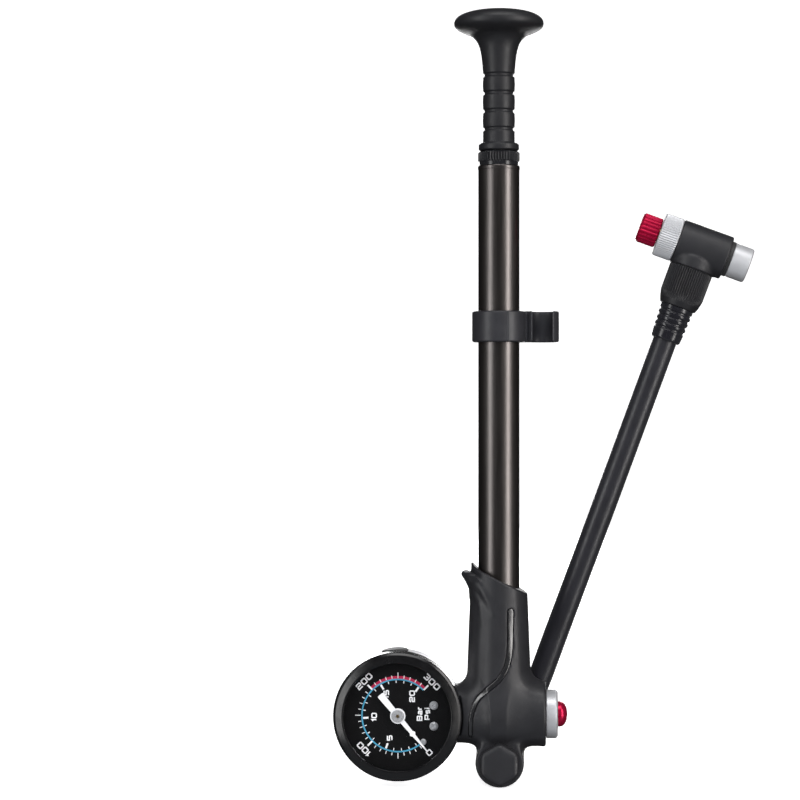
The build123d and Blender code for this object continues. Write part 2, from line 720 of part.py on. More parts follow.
def gear_outline(teeth, backlash=0.05):
    """An involute gear's outline, with a tooth on its x axis."""
    pitch_r = GEAR_MODULE * teeth / 2
    base_r = pitch_r * cos(radians(20))
    tip_r = pitch_r + 0.9 * GEAR_MODULE
    root_r = pitch_r - 1.3 * GEAR_MODULE
    spread = tan(radians(20)) - radians(20)
    half_tooth = (pi / 2 - backlash / GEAR_MODULE) / teeth + spread
    unroll = sqrt((tip_r / base_r) ** 2 - 1)
    flank = []
    for share in (0, 0.35, 0.7, 1.0):
        roll = unroll * share
        flank.append((base_r * sqrt(1 + roll ** 2), roll - atan2(roll, 1)))
    points = []
    for number in range(teeth):
        middle = 2 * pi * number / teeth
        rising = [(root_r, half_tooth)] + [(radius, half_tooth - twist) for radius, twist in flank]
        for radius, angle in rising:
            points.append((radius, middle - angle))
        for radius, angle in reversed(rising):
            points.append((radius, middle + angle))
    return make_face(Polyline(*[(r * cos(a), r * sin(a)) for r, a in points], close=True))


def needle_shaft():
    """The needle's shaft, cut with the pinion."""
    shaft = disc(DIAL, 0.57, 0.2, 9.7)
    return shaft + extrude(DIAL.offset(2.0) * gear_outline(PINION_TEETH), amount=1.6)


def sector_gear():
    """The toothed sector that drives the pinion, with the tail that the tube pulls."""
    half_step = 180 / SECTOR_TEETH
    wheel = Rot(0, 0, 180 + half_step) * gear_outline(SECTOR_TEETH)
    reach = GEAR_MODULE * SECTOR_TEETH / 2 + 1
    bow = [(reach * cos(radians(a)), reach * sin(radians(a))) for a in range(138, 196, 6)]
    sector = wheel & make_face(Polyline((0, 0), *bow, close=True))
    sector += Circle(1.5)
    body = extrude(sector_axis().offset(2.1) * sector, amount=1.2)
    return body + disc(sector_axis(), 0.57, 0.2, 5.8)


def needle():
    """The pointer, wide at its tail and fine at its tip."""
    angle = radians(NEEDLE_REST)
    outline = make_face(Polyline(
        (-9.0, -1.15), (-9.3, -0.85), (-9.3, 0.85), (-9.0, 1.15), (-2.0, 0.95), (0, 0.9), (2.0, 0.82),
        (7.0, 0.62), (7.8, 1.1), (8.6, 0.55), (15.7, 0.14), (15.7, -0.14), (8.6, -0.55), (7.8, -1.1),
        (7.0, -0.62), (2.0, -0.82), (0, -0.9), (-2.0, -0.95), close=True,
    ))
    blade = extrude(DIAL.offset(8.6) * Rot(0, 0, degrees(angle)) * (outline + Circle(2.58)), amount=0.4)
    return bored(blade, DIAL, 0.57, 8.0, 10.0)


def needle_hub():
    """The polished disc that holds the needle on its shaft."""
    hub = turned(DIAL, (0, 9.0), (2.15, 9.0), (2.15, 9.35), (2.0, 9.5), (0, 9.5))
    return bored(hub, DIAL, 0.57, 8.0, 10.0)


PARTS = [
    handle, handle_insert, bumper, plunger_rod, piston, piston_ring, piston_screw,
    barrel, barrel_cap, rod_bush, rod_wiper, hose_clip,
    head, head_trim, barrel_seal, valve_seat, check_poppet, check_spring,
    bleed_collar, collar_seal, bleed_button, bleed_pin, bleed_seal, bleed_spring,
    pivot_bolt, pivot_seals, pivot_cap, retaining_clip, swivel, hose_ferrule,
    hose, strain_relief, grip_sleeve, tee_body, spindle, spindle_seals, end_washer, nose_seal,
    spindle_collar, depressor_pin, depressor_knob, knob_screw,
    gauge_case, case_plug, gauge_bezel, gauge_lens, lens_gasket, dial, dial_screws, stop_pin,
    gauge_socket, gauge_seal, bourdon_tube, movement_frame, needle_shaft, sector_gear, needle, needle_hub,
]

os.makedirs("parts", exist_ok=True)
for make in PARTS:
    export_step(make(), f"parts/{make.__name__}.step")
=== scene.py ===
"""Looks for the shock suspension pump. Metres in the row frame; sizes here are millimetres times MM."""
import json
from math import cos, pi, radians, sin, tan

import bmesh
import bpy
import numpy as np
from mathutils import Matrix, Vector

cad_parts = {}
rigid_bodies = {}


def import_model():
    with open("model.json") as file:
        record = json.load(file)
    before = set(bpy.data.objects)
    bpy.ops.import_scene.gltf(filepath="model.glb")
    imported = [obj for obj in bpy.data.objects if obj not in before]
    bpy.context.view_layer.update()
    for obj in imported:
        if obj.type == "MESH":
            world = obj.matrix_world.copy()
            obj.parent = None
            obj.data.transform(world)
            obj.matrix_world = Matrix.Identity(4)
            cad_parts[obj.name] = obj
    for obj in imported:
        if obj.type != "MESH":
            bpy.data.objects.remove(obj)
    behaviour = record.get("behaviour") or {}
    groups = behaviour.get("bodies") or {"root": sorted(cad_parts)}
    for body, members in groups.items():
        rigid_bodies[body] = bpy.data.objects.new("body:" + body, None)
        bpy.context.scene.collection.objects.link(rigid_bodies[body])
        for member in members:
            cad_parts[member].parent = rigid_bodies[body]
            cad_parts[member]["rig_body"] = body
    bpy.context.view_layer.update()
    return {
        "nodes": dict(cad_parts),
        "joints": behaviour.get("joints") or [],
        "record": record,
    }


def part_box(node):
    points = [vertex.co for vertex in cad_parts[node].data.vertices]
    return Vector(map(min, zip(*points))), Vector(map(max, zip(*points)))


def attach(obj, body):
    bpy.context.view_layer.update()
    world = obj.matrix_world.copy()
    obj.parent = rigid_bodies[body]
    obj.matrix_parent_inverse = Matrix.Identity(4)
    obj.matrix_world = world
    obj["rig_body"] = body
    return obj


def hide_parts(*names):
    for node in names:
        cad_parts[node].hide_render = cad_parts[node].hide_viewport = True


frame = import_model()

MM = 0.001
JOINTS = {joint["name"]: joint for joint in frame["joints"]}
SLOTS = {part["node"]: part["material_slot"] for part in frame["record"]["subparts"]}


# ---------------------------------------------------------------- places

def place(origin, normal, across):
    """A matrix from a local frame in millimetres (across, up, along the normal) to the row frame."""
    normal = Vector(normal).normalized()
    across = Vector(across)
    across = (across - normal * across.dot(normal)).normalized()
    turn = Matrix((across, normal.cross(across), normal)).transposed().to_4x4()
    return Matrix.Translation(origin) @ turn @ Matrix.Scale(MM, 4)


def span(node, axis):
    """A CAD node's lowest and highest place along a row axis, in millimetres."""
    low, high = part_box(node)
    return low[axis] / MM, high[axis] / MM


NOSE_WAY = Vector(JOINTS["spindle_turn"]["axis"])
HOSE_WAY = Vector((-NOSE_WAY.z, 0, NOSE_WAY.x))
HOSE_PIVOT = Vector(JOINTS["hose_swivel"]["pos_m"])
SPIGOT_LEAN = radians(30)
MANIFOLD_Z = JOINTS["needle_turn"]["pos_m"][2] / MM
UP = Matrix.Scale(MM, 4)
DIAL = place(JOINTS["needle_turn"]["pos_m"], (0, -1, 0), (0, 0, 1))
CROSS = place((0, 0, MANIFOLD_Z * MM), (1, 0, 0), (0, 1, 0))
PIVOT = place((HOSE_PIVOT.x, 0, HOSE_PIVOT.z), (0, 1, 0), (1, 0, 0))
SPIGOT = place(HOSE_PIVOT, (sin(SPIGOT_LEAN), 0, cos(SPIGOT_LEAN)), (0, 1, 0))
TEE = place(JOINTS["spindle_turn"]["pos_m"], NOSE_WAY, (0, 1, 0))
STEM = place(JOINTS["spindle_turn"]["pos_m"], HOSE_WAY, (0, 1, 0))


# ---------------------------------------------------------------- materials

class Finish:
    """A node material round one Principled shader, with helpers for noise, bump and colour."""

    def __init__(self, name, **sockets):
        self.material = bpy.data.materials.new(name)
        self.material.use_nodes = True
        self.tree = self.material.node_tree
        self.shader = self.tree.nodes["Principled BSDF"]
        self.where = self.node("ShaderNodeTexCoord").outputs["Object"]
        for socket, value in sockets.items():
            self.shader.inputs[socket.replace("_", " ")].default_value = value

    def node(self, kind, **settings):
        made = self.tree.nodes.new(kind)
        for key, value in settings.items():
            if key in made.inputs:
                made.inputs[key].default_value = value
            else:
                setattr(made, key, value)
        return made

    def link(self, source, target):
        self.tree.links.new(source, target)

    def noise(self, size, detail=3.0, stretch=(1, 1, 1)):
        """Noise whose grains are about that many millimetres, drawn out along an axis by stretch."""
        mapping = self.node("ShaderNodeMapping")
        mapping.inputs["Scale"].default_value = [1 / (size * MM * by) for by in stretch]
        self.link(self.where, mapping.inputs["Vector"])
        noise = self.node("ShaderNodeTexNoise", Scale=1.0, Detail=detail, Roughness=0.6)
        self.link(mapping.outputs["Vector"], noise.inputs["Vector"])
        return noise.outputs["Fac"]

    def ranged(self, value, low, high):
        """A value from noise, brought between two limits."""
        node = self.node("ShaderNodeMapRange")
        node.inputs["From Min"].default_value = 0.3
        node.inputs["From Max"].default_value = 0.7
        node.inputs["To Min"].default_value = low
        node.inputs["To Max"].default_value = high
        self.link(value, node.inputs["Value"])
        return node.outputs["Result"]

    def colours(self, value, first, second):
        """A mix of two colours, laid on the shader's base colour."""
        ramp = self.node("ShaderNodeValToRGB")
        ramp.color_ramp.elements[0].position = 0.3
        ramp.color_ramp.elements[1].position = 0.7
        ramp.color_ramp.elements[0].color = (*first, 1)
        ramp.color_ramp.elements[1].color = (*second, 1)
        self.link(value, ramp.inputs["Fac"])
        self.link(ramp.outputs["Color"], self.shader.inputs["Base Color"])

    def bump(self, value, depth, strength=1.0):
        """Surface relief of that many millimetres."""
        node = self.node("ShaderNodeBump", Strength=strength)
        node.inputs["Distance"].default_value = depth * MM
        self.link(value, node.inputs["Height"])
        self.link(node.outputs["Normal"], self.shader.inputs["Normal"])


def shade(colour, by):
    """A colour made lighter or darker."""
    return [channel * by for channel in colour]


def moulded(name, colour, roughness, grain=0.35, relief=0.012, **sockets):
    """Moulded plastic with a fine spark-eroded grain and faint wear."""
    finish = Finish(name, Roughness=roughness, IOR=1.47, **sockets)
    finish.colours(finish.noise(9.0, 2.0), shade(colour, 0.9), shade(colour, 1.12))
    finish.link(finish.ranged(finish.noise(3.0), roughness - 0.05, roughness + 0.06),
                finish.shader.inputs["Roughness"])
    finish.bump(finish.noise(grain, 2.0), relief)
    return finish.material


def machined(name, colour, roughness, metallic=1.0, lines=0.12, relief=0.004):
    """Metal with fine tool lines; a blasted or anodised skin is less of a mirror, so less metallic."""
    finish = Finish(name, Metallic=metallic, Roughness=roughness)
    finish.colours(finish.noise(5.0, 2.0), shade(colour, 0.94), shade(colour, 1.04))
    finish.link(finish.ranged(finish.noise(lines * 4, 2.0), roughness - 0.05, roughness + 0.07),
                finish.shader.inputs["Roughness"])
    finish.bump(finish.noise(lines, 2.0), relief)
    return finish.material


def anodised_tube(name):
    """Black anodised drawn tube: brown-black, satin, with faint lengthwise draw lines."""
    finish = Finish(name, Metallic=1.0, Roughness=0.34)
    finish.shader.inputs["Specular Tint"].default_value = (0.3, 0.285, 0.285, 1)
    finish.colours(finish.noise(6.0, 2.0, (1, 1, 12)), (0.122, 0.111, 0.108), (0.146, 0.135, 0.131))
    finish.link(finish.ranged(finish.noise(0.5, 2.0, (1, 1, 40)), 0.30, 0.40),
                finish.shader.inputs["Roughness"])
    finish.bump(finish.noise(0.25, 2.0, (1, 1, 60)), 0.002)
    return finish.material


def rubber(name, colour, roughness=0.5, relief=0.006):
    """Rubber with a soft sheen."""
    finish = Finish(name, Roughness=roughness, IOR=1.5, Sheen_Weight=0.08)
    finish.colours(finish.noise(12.0, 2.0), shade(colour, 0.85), shade(colour, 1.2))
    finish.link(finish.ranged(finish.noise(2.0), roughness - 0.05, roughness + 0.06),
                finish.shader.inputs["Roughness"])
    finish.bump(finish.noise(0.5, 2.0), relief)
    return finish.material


def clear_lens(name):
    """Clear, polished, slightly smudged plastic: mostly see-through, with a mirror skin by angle."""
    finish = Finish(name, Roughness=0.02, IOR=1.49, Alpha=0.07)
    finish.colours(finish.noise(30.0, 1.0), (0.012, 0.012, 0.013), (0.016, 0.016, 0.017))
    finish.link(finish.ranged(finish.noise(24.0, 1.0), 0.02, 0.035), finish.shader.inputs["Roughness"])
    return finish.material


BLACK = (0.011, 0.011, 0.0125)
CHARCOAL = (0.0145, 0.0145, 0.0165)
MATERIALS = {
    "handle_plastic": moulded("handle_plastic", BLACK, 0.46),
    "head_plastic": moulded("head_plastic", CHARCOAL, 0.44),
    "trim_gloss": moulded("trim_gloss", (0.012, 0.012, 0.013), 0.18, 2.0, 0.002, Specular_IOR_Level=1.0),
    "black_anodised": anodised_tube("black_anodised"),
    "cap_plastic": moulded("cap_plastic", BLACK, 0.2, 0.5, 0.003),
    "clip_plastic": moulded("clip_plastic", (0.02, 0.02, 0.023), 0.4, 0.4, 0.006),
    "hose_rubber": rubber("hose_rubber", (0.010, 0.010, 0.013), 0.38),
    "boot_rubber": rubber("boot_rubber", (0.008, 0.008, 0.011), 0.22),
    "sleeve_plastic": moulded("sleeve_plastic", BLACK, 0.45),
    "tee_plastic": moulded("tee_plastic", (0.014, 0.014, 0.016), 0.48),
    "swivel_black": machined("swivel_black", (0.02, 0.02, 0.022), 0.35),
    "silver_aluminium": machined("silver_aluminium", (0.55, 0.555, 0.57), 0.38, 0.5),
    "red_anodised": machined("red_anodised", (0.5, 0.006, 0.05), 0.3, 0.7),
    "brass": machined("brass", (0.72, 0.53, 0.25), 0.28),
    "steel": machined("steel", (0.7, 0.71, 0.73), 0.3, 0.6),
    "bright_case": machined("bright_case", (0.78, 0.78, 0.8), 0.36, 0.3),
    "black_rubber": rubber("black_rubber", (0.02, 0.02, 0.02), 0.55),
    "white_acetal": moulded("white_acetal", (0.8, 0.8, 0.77), 0.35, 0.6, 0.003),
    "bezel_black": moulded("bezel_black", (0.004, 0.004, 0.0045), 0.22, 0.6, 0.002),
    "dial_black": moulded("dial_black", (0.003, 0.003, 0.0033), 0.6, 0.3, 0.004, Specular_IOR_Level=0.15),
    "needle_white": moulded("needle_white", (0.95, 0.95, 0.96), 0.4, 0.6, 0.003),
    "clear_lens": clear_lens("clear_lens"),
}
PRINTS = {
    "white": moulded("print_white", (0.95, 0.95, 0.96), 0.5, 0.3, 0.003),
    "blue": moulded("print_blue", (0.06, 0.36, 0.56), 0.5, 0.3, 0.003),
    "red": moulded("print_red", (0.5, 0.012, 0.065), 0.5, 0.3, 0.003),
}


def dress_cad_nodes():
    """Every CAD node gets its slot's material; the pieces that stand for some of them come later."""
    for name, node in frame["nodes"].items():
        node.data.materials.clear()
        node.data.materials.append(MATERIALS[SLOTS[name]])


# ---------------------------------------------------------------- meshes

def piece(name, points, faces, where, nodes, sharp=32, material=None):
    """A mesh piece, from points in a local frame, that stands for CAD nodes and rides on their body."""
    nodes = [nodes] if isinstance(nodes, str) else list(nodes)
    mesh = bpy.data.meshes.new(name)
    mesh.from_pydata([tuple(point) for point in points], [], [tuple(face) for face in faces])
    mesh.transform(where)
    tidy_normals(mesh)
    mesh.shade_smooth()
    mesh.set_sharp_from_angle(angle=radians(sharp))
    made = bpy.data.objects.new(name, mesh)
    bpy.context.scene.collection.objects.link(made)
    slot = SLOTS[nodes[0]]
    mesh.materials.append(material or MATERIALS[slot])
    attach(made, frame["nodes"][nodes[0]]["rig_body"])
    return made


def stand_in(name, points, faces, where, nodes, sharp=32):
    """A piece that hides the CAD nodes that it stands for."""
    made = piece(name, points, faces, where, nodes, sharp)
    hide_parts(*([nodes] if isinstance(nodes, str) else nodes))
    return made


def tidy_normals(mesh):
    """Faces all look outwards."""
    form = bmesh.new()
    form.from_mesh(mesh)
    bmesh.ops.recalc_face_normals(form, faces=form.faces)
    form.to_mesh(mesh)
    form.free()


def softened(points, radius, steps=5, closed=True):
    """An outline with rounded corners. A third number in a point is its own corner radius."""
    out = []
    count = len(points)
    for number, point in enumerate(points):
        here = Vector(point[:2])
        own = point[2] if len(point) > 2 else radius
        ends = not closed and number in (0, count - 1)
        if own == 0 or ends or abs(here.x) < 1e-9:
            out.append(tuple(here))
            continue
        before = Vector(points[number - 1][:2]) - here
        after = Vector(points[(number + 1) % count][:2]) - here
        turn = before.angle(after)
        reach = min(own / tan(turn / 2), 0.48 * before.length, 0.48 * after.length)
        first, last = here + before.normalized() * reach, here + after.normalized() * reach
        for step in range(steps + 1):
            share = step / steps
            out.append(tuple(first * (1 - share) ** 2 + here * 2 * share * (1 - share) + last * share ** 2))
    return out


def smooth_line(points, steps=8):
    """A Catmull-Rom line through points."""
    points = [Vector(point) for point in points]
    ends = [points[0] * 2 - points[1], *points, points[-1] * 2 - points[-2]]
    out = [points[0]]
    for p0, p1, p2, p3 in zip(ends, ends[1:], ends[2:], ends[3:]):
        for step in range(1, steps + 1):
            t = step / steps
            out.append(0.5 * (2 * p1 + (p2 - p0) * t + (2 * p0 - 5 * p1 + 4 * p2 - p3) * t ** 2
                              + (3 * p1 - p0 - 3 * p2 + p3) * t ** 3))
    return [tuple(point) for point in out]


def lathe(outline, sides=96, ripple=None):
    """Points and faces of a body turned from an outline of (radius, height).
    An outline that starts and ends on the axis is a solid, and any other is a closed ring.
    ripple(radius, height, angle) changes the radius round the turn."""
    rings, points = [], []
    for radius, height in outline:
        if abs(radius) < 1e-9:
            rings.append([len(points)])
            points.append((0, 0, height))
            continue
        ring = []
        for side in range(sides):
            angle = 2 * pi * side / sides
            reach = ripple(radius, height, angle) if ripple else radius
            ring.append(len(points))
            points.append((reach * cos(angle), reach * sin(angle), height))
        rings.append(ring)
    solid = len(rings[0]) == 1
    faces = []
    for low, high in zip(rings, rings[1:] if solid else rings[1:] + rings[:1]):
        for side in range(sides):
            after = (side + 1) % sides
            if len(low) == 1 and len(high) == 1:
                continue
            if len(low) == 1:
                faces.append((low[0], high[after], high[side]))
            elif len(high) == 1:
                faces.append((low[side], low[after], high[0]))
            else:
                faces.append((low[side], low[after], high[after], high[side]))
    return points, faces


def flutes(count, depth, low, high, least, sharpness=1.0):
    """A ripple of lengthwise grooves between two heights, on what is wider than a radius."""
    def ripple(radius, height, angle):
        if radius < least or not low <= height <= high:
            return radius
        wave = 0.5 - 0.5 * cos(count * angle)
        return radius - depth * wave ** sharpness
    return ripple


# ---------------------------------------------------------------- forms from distance fields

def united(a, b, reach):
    """The union of two fields, with a fillet of about that reach in the corner."""
    share = np.clip(0.5 + 0.5 * (b - a) / reach, 0, 1)
    return b * (1 - share) + a * share - reach * share * (1 - share)


def common(a, b, reach):
    """What two fields share, with the edge rounded."""
    return -united(-a, -b, reach)


def less(a, b, reach):
    """One field less another, with the edge rounded."""
    return common(a, -b, reach)


def line_field(points, line, radius):
    """Distance to a round bar along a line; radius may change along it."""
    best = np.full(len(points), 1e9)
    widths = np.linspace(*radius, len(line)) if isinstance(radius, tuple) else [radius] * len(line)
    for start, end, first, last in zip(line, line[1:], widths, widths[1:]):
        start, way = np.array(start), np.array(end) - np.array(start)
        share = np.clip((points - start) @ way / (way @ way), 0, 1)
        gap = np.linalg.norm(points - start - share[:, None] * way, axis=1)
        best = np.minimum(best, gap - (first + (last - first) * share))
    return best


def surface(field, low, high, step):
    """A closed mesh where a field is zero: surface nets, with each point then drawn onto the surface."""
    origin = np.array(low) - 2 * step
    counts = np.ceil((np.array(high) - origin) / step).astype(int) + 3
    spots = np.stack(np.meshgrid(*[np.arange(n) for n in counts], indexing="ij"), -1).reshape(-1, 3)
    value = field(origin + spots * step).reshape(counts)
    inside = value < 0
    cells = counts - 1
    total, count = np.zeros((*cells, 3)), np.zeros(cells)
    corners = [np.array(c) for c in np.ndindex(2, 2, 2)]
    for first in corners:
        for axis in range(3):
            if first[axis]:
                continue
            second = first + np.eye(3, dtype=int)[axis]
            a, b = (value[tuple(slice(c, c + n) for c, n in zip(corner, cells))]
                    for corner in (first, second))
            crossed = (a < 0) != (b < 0)
            share = a[crossed] / (a[crossed] - b[crossed])
            total[crossed] += first + share[:, None] * (second - first)
            count[crossed] += 1
    active = count > 0
    index = np.full(cells, -1)
    index[active] = np.arange(active.sum())
    points = origin + (np.argwhere(active) + total[active] / count[active][:, None]) * step
    faces = []
    for axis in range(3):
        ahead, u, v = np.eye(3, dtype=int)[[axis, (axis + 1) % 3, (axis + 2) % 3]]
        here = inside[tuple(slice(0, n - d) for n, d in zip(counts, ahead))]
        there = inside[tuple(slice(d, n) for n, d in zip(counts, ahead))]
        spots = np.argwhere(here != there)
        quads = np.stack([index[tuple((spots - move).T)] for move in (0 * u, u, u + v, v)], axis=1)
        assert quads.min() >= 0, "the form reaches out of its box"
        inward = ~here[tuple(spots.T)]
        quads[inward] = quads[inward][:, ::-1]
        faces.append(quads)
    for _ in range(3):
        slope = np.stack([
            (field(points + 0.01 * way) - field(points - 0.01 * way)) / 0.02 for way in np.eye(3)
        ], axis=1)
        move = slope * (field(points) / np.maximum((slope ** 2).sum(1), 0.3))[:, None]
        size = np.maximum(np.linalg.norm(move, axis=1, keepdims=True), 1e-9)
        points -= move * np.minimum(1, 0.4 * step / size)
    return points, np.concatenate(faces)


# ---------------------------------------------------------------- plunger and barrel

BARREL_R = (span("barrel_seal", 0)[1] - span("barrel_seal", 0)[0]) / 2
HANDLE_FOOT, HANDLE_TOP = span("handle", 2)
BARREL_FOOT, BARREL_TOP = span("barrel", 2)
CAP_TOP = span("barrel_cap", 2)[1]
BARREL_WALL = 1.0
GRIP_R = 5.35
GROOVE_PITCH = 6.1
GRIP_TOP = HANDLE_FOOT + 26.1


def handle():
    """The push handle: a low crown with a rounded edge, a hollow neck and a grip with four grooves."""
    top = HANDLE_TOP
    crown = smooth_line([
        (0, top), (4.0, top - 0.1), (8.0, top - 0.55), (11.4, top - 1.3), (13.8, top - 2.35),
        (14.95, top - 3.6), (15.22, top - 4.9), (14.8, top - 6.0), (13.5, top - 7.0), (11.6, top - 7.9),
        (9.7, top - 8.7), (8.1, top - 10.0), (6.95, top - 11.8), (6.2, top - 14.3), (5.75, top - 17.3),
        (5.45, GRIP_TOP + 1.2),
    ], 6)
    grip = []
    for number in range(4):
        groove = GRIP_TOP - 0.5 - number * GROOVE_PITCH
        grip += [(GRIP_R + 0.02, groove + 0.75, 0.3), (GRIP_R - 0.5, groove + 0.3, 0.25),
                 (GRIP_R - 0.5, groove - 0.3, 0.25), (GRIP_R + 0.02, groove - 0.75, 0.3)]
        grip.append((GRIP_R + 0.12, groove - GROOVE_PITCH / 2, 4.0))
    grip.pop()
    low = HANDLE_FOOT
    foot = [
        (GRIP_R + 0.05, low + 2.7, 0.3), (6.3, low + 2.5, 0.3), (6.85, low + 2.0, 0.4),
        (6.85, low + 0.4, 0.3), (6.4, low, 0.3), (5.0, low, 0), (5.0, low + 1.2, 0), (3.05, low + 1.2, 0),
        (3.05, low + 24.0, 0), (0, low + 24.0, 0),
    ]
    outline = crown[:-1] + softened([crown[-1], *grip, *foot], 0.3, closed=False)
    stand_in("push_handle", *lathe(outline, 128), UP, "handle", 40)


def barrel_cap():
    """The finely ribbed cap, with a shadow gap over the barrel's lip."""
    low = BARREL_TOP
    outline = softened([
        (3.2, low - 3), (3.2, CAP_TOP - 0.6, 0.1), (6.3, CAP_TOP - 0.1, 0.4), (7.06, CAP_TOP - 0.6, 0.5),
        (7.06, low + 1.5, 0.3), (6.6, low + 1.2, 0.1), (6.6, low, 0), (5.9, low, 0), (5.9, low - 3, 0),
    ], 0.1)
    ribs = flutes(44, 0.42, low + 1.3, CAP_TOP - 0.45, 6.9, 1.4)
    stand_in("ribbed_cap", *lathe(outline, 44 * 10, ribs), UP, "barrel_cap", 50)


def barrel():
    """The drawn tube with its rolled lip."""
    low, high, wide = BARREL_FOOT, BARREL_TOP, BARREL_R
    inner = wide - BARREL_WALL
    outline = softened([
        (inner, low, 0.1), (wide, low, 0.1), (wide, high - 1.5, 0.2), (wide + 0.12, high - 1.2, 0.2),
        (wide + 0.12, high - 0.4, 0.25), (wide - 0.25, high, 0.2), (inner, high, 0.2),
    ], 0.1)
    stand_in("drawn_barrel", *lathe(outline, 160), UP, "barrel", 40)


# ---------------------------------------------------------------- head

SOCKET_LOW_R = 11.1
SOCKET_TOP_R = 9.2
SOCKET_TOP = 76.0
LEFT_R, RIGHT_R, RIGHT_FACE = 9.8, 10.9, 16.0
BACK_FACE = 9.4
BOSS_R = 8.2
BOSS_FACE = -8.5
BEZEL_BACK = -7.2
BEZEL_SEAT_R, CASE_SEAT_R = 22.0, 21.3
LEFT_FILLET, RIGHT_FILLET, BOSS_FILLET, BOSS_EDGE = 5.0, 6.5, 4.2, 0.7
RIM_TOP, RIM_KNEE = 73.4, -7.2
RIM_SLOPE, LIP_SLOPE = 0.4912, 1.1
BLEED_BORE_R, BLEED_BORE_END = 5.0, 9.0
TRIM_LINE = smooth_line([
    (4.1, 59.4), (4.05, 52.0), (3.8, 45.5), (2.5, 40.2), (-0.3, 36.0), (-4.1, 32.8), (-7.1, 29.6),
    (-8.8, 25.4), (-9.4, 21.0), (-9.45, 17.4),
], 5)


def trim_field(points, grown):
    """Distance to the S-shaped strip seen from the front; it is wider at its top than at its foot."""
    x, z = points[:, 0], points[:, 2]
    best = np.full(len(points), 1e9)
    near = (x > -13) & (x < 9) & (z > 12) & (z < 65) & (points[:, 1] < 2)
    flat = points[near][:, [0, 2]]
    found = np.full(len(flat), 1e9)
    count = len(TRIM_LINE) - 1
    for number, (start, end) in enumerate(zip(TRIM_LINE, TRIM_LINE[1:])):
        start, way = np.array(start), np.array(end) - np.array(start)
        share = np.clip((flat - start) @ way / (way @ way), 0, 1)
        gap = np.linalg.norm(flat - start - share[:, None] * way, axis=1)
        half = 1.0 - 0.45 * (number + share) / count
        found = np.minimum(found, gap - half - grown)
    best[near] = found
    return best


def head_form(points):
    """The head's outside: a tapered socket, a cross body and a pivot boss that flow into each other."""
    x, y, z = points.T
    rise = z - MANIFOLD_Z
    narrowing = (SOCKET_LOW_R - SOCKET_TOP_R) / (SOCKET_TOP - MANIFOLD_Z)
    round_foot = np.sqrt(x ** 2 + y ** 2 + np.minimum(rise, 0) ** 2)
    socket = round_foot - SOCKET_LOW_R + narrowing * np.maximum(rise, 0)
    across = np.hypot(y, rise)
    left = np.maximum(across - LEFT_R, x)
    right = across - LEFT_R - (RIGHT_R - LEFT_R) * np.clip(x / RIGHT_FACE, 0, 1.1)
    right = np.maximum(right, -x)
    form = united(united(socket, left, LEFT_FILLET), right, RIGHT_FILLET)
    boss = np.hypot(x - HOSE_PIVOT.x / MM, z - HOSE_PIVOT.z / MM) - BOSS_R
    boss = common(united(form, boss, BOSS_FILLET), BOSS_FACE - y, 1.0)
    form = united(form, boss, BOSS_EDGE)
    return common(form, x - RIGHT_FACE, 1.1)


def lip_field(points):
    """The finger lip that flares from the socket's rim, and two folds that run from it down the front."""
    x, y, z = points.T
    radius = np.hypot(x, y)
    turn = np.degrees(np.abs(np.arctan2(y, -x) + radians(8)))
    flat = np.stack([radius, z, 0 * z], 1)
    flare = line_field(flat, [(8.7, 64.0, 0), (9.1, 66.8, 0), (10.3, 69.5, 0), (11.75, 71.5, 0)], (1.0, 1.05))
    flare += 2.2 * np.clip((turn - 22) / 30, 0, 3) ** 2
    folds = []
    for offset, low in ((0.0, 55.0), (3.4, 58.5)):
        line = [
            (-10.6 + offset * 0.55, 70.6 - offset * 0.3), (-8.6 + offset * 0.75, 67.2),
            (-6.3 + offset * 0.9, 62.8), (-4.9 + offset, low),
        ]
        around = [(u, -sqrt_over(9.05, u), v) for u, v in line]
        folds.append(line_field(points, smooth_line(around, 4), (1.15, 0.15)))
    return flare, folds


def sqrt_over(radius, across):
    """The depth of a round wall at a distance across from its middle."""
    return max(radius ** 2 - across ** 2, 0.0) ** 0.5


def head_field(points):
    """The whole head, with its openings."""
    x, y, z = points.T
    form = head_form(points)
    flare, folds = lip_field(points)
    for fold in folds:
        form = united(form, fold, 1.6)
    form = united(form, flare, 1.5)
    rim = z - RIM_TOP + np.where(x > RIM_KNEE, RIM_SLOPE, LIP_SLOPE) * (x - RIM_KNEE)
    form = common(form, rim * 0.85, 0.5)
    form = common(form, y - BACK_FACE, 0.8)
    form = less(form, np.maximum(np.hypot(x, y) - BARREL_R - 0.02, BARREL_FOOT - z), 0.35)
    case_x, case_z = DIAL.translation.x / MM, DIAL.translation.z / MM
    seat = np.where(y < BEZEL_BACK, BEZEL_SEAT_R, CASE_SEAT_R)
    form = less(form, np.hypot(x - case_x, z - case_z) - seat, 0.3)
    form = less(form, np.maximum(np.hypot(y, z - MANIFOLD_Z) - BLEED_BORE_R, BLEED_BORE_END - x), 0.2)
    groove = np.maximum(trim_field(points, 0.14), -head_form(points) - 1.0)
    return less(form, groove, 0.16)


def head_trim_field(points):
    """The glossy strip, a little under the head's surface."""
    form = head_form(points)
    strip = common(trim_field(points, 0.0), form + 0.22, 0.14)
    return np.maximum(strip, -form - 0.95)


def head():
    """The moulded head and its trim."""
    points, faces = surface(head_field, (-15.2, -12.6, -0.3), (16.3, 9.8, 76.3), 0.42)
    stand_in("moulded_head", points, faces, UP, "head", 60)
    points, faces = surface(head_trim_field, (-10.8, -12.4, 15.5), (6.0, -3.5, 61.0), 0.22)
    stand_in("trim_strip", points, faces, UP, "head_trim", 60)


CAP_FLAT, CAP_CROWN_R = 6.35, 7.15
CAP_BEVEL, CAP_FACE = -12.8, -13.6


